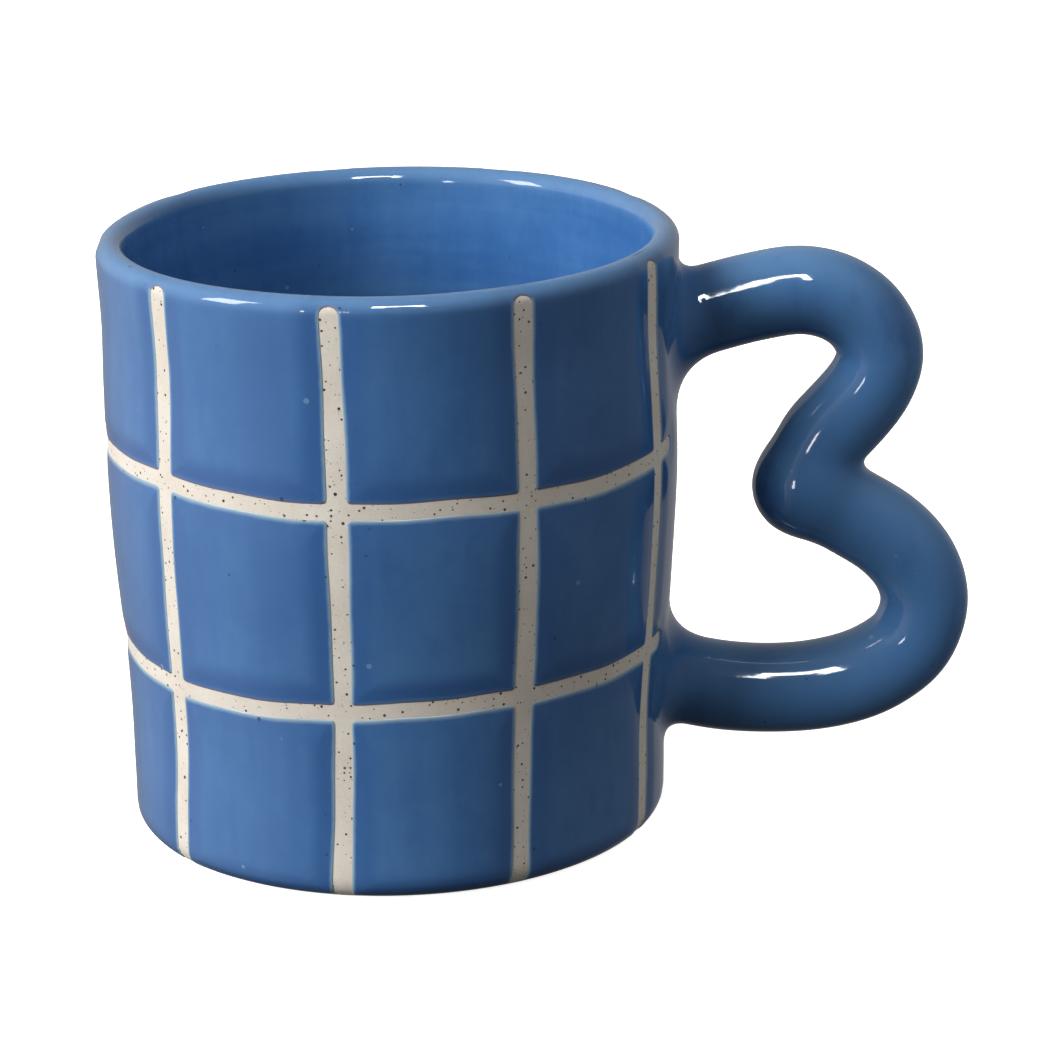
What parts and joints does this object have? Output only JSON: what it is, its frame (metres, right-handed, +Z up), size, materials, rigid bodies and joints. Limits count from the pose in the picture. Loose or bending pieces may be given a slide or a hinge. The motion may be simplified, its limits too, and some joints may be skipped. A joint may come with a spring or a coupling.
{
  "type": "stoneware mug",
  "caption": "Straight-sided stoneware mug with a round-coil handle bent into two bows and a glaze divided by bare clay lines.",
  "frame": {"origin": "centre of the flat unglazed foot, on the surface that the mug stands on", "axes": "+Z up along the axis of the cup, +X towards the handle, Y across the handle"},
  "size_m": [0.1326, 0.0882, 0.092],
  "materials": {
    "bare_clay": "matte, pale stoneware with dark speckles",
    "blue_glaze": "glossy blue, slightly streaky, thinner and paler at its edges"
  },
  "bodies": {
    "root": {"clay_body": "bare_clay", "handle_coil": "bare_clay", "upper_slip_joint": "bare_clay", "lower_slip_joint": "bare_clay", "liner_glaze": "blue_glaze", "rim_glaze": "blue_glaze", "handle_glaze": "blue_glaze", "middle_panel_1": "blue_glaze", "middle_panel_2": "blue_glaze", "middle_panel_3": "blue_glaze", "middle_panel_4": "blue_glaze", "middle_panel_5": "blue_glaze", "middle_panel_6": "blue_glaze", "middle_panel_7": "blue_glaze", "middle_panel_8": "blue_glaze", "lower_panel_1": "blue_glaze", "lower_panel_2": "blue_glaze", "lower_panel_3": "blue_glaze", "lower_panel_4": "blue_glaze", "lower_panel_5": "blue_glaze", "lower_panel_6": "blue_glaze", "lower_panel_7": "blue_glaze", "lower_panel_8": "blue_glaze"}
  },
  "joints": []
}
